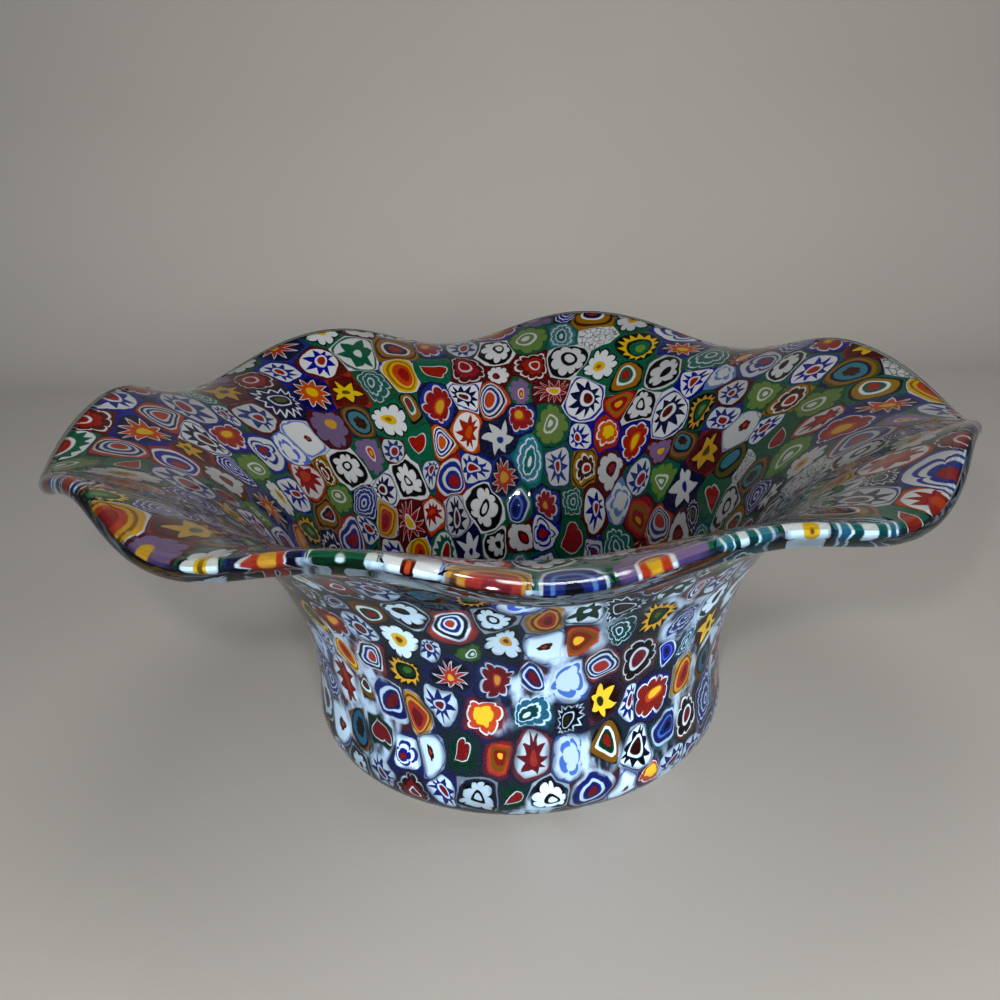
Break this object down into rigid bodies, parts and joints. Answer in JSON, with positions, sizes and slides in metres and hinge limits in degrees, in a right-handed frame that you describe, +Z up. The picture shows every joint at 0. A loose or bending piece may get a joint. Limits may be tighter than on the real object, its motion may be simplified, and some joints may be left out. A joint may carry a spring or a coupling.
{
  "type": "art glass bowl",
  "caption": "Ruffled mosaic glass bowl with a drum-shaped body, a wide waved lip, a clear outer casing and a flat ground base.",
  "frame": {"origin": "centre of the flat ground base, on the surface that the bowl stands on", "axes": "+Z up, out of the mouth of the bowl; +X to the right and -Y towards the viewer of the lobe that hangs lowest at the front"},
  "size_m": [0.2331, 0.2331, 0.1005],
  "materials": {
    "clear_glass": "gloss",
    "mosaic_glass": "gloss"
  },
  "bodies": {
    "root": {"base_pad": "clear_glass", "clear_casing": "clear_glass", "lip_collar": "clear_glass", "centre_slice": "mosaic_glass", "floor_course_1": "mosaic_glass", "floor_course_2": "mosaic_glass", "floor_course_3": "mosaic_glass", "floor_course_4": "mosaic_glass", "heel_course_1": "mosaic_glass", "heel_course_2": "mosaic_glass", "wall_course_1": "mosaic_glass", "wall_course_2": "mosaic_glass", "wall_course_3": "mosaic_glass", "wall_course_4": "mosaic_glass", "wall_course_5": "mosaic_glass", "flare_course_1": "mosaic_glass", "flare_course_2": "mosaic_glass", "flare_course_3": "mosaic_glass", "flare_course_4": "mosaic_glass", "flare_course_5": "mosaic_glass"}
  },
  "joints": []
}
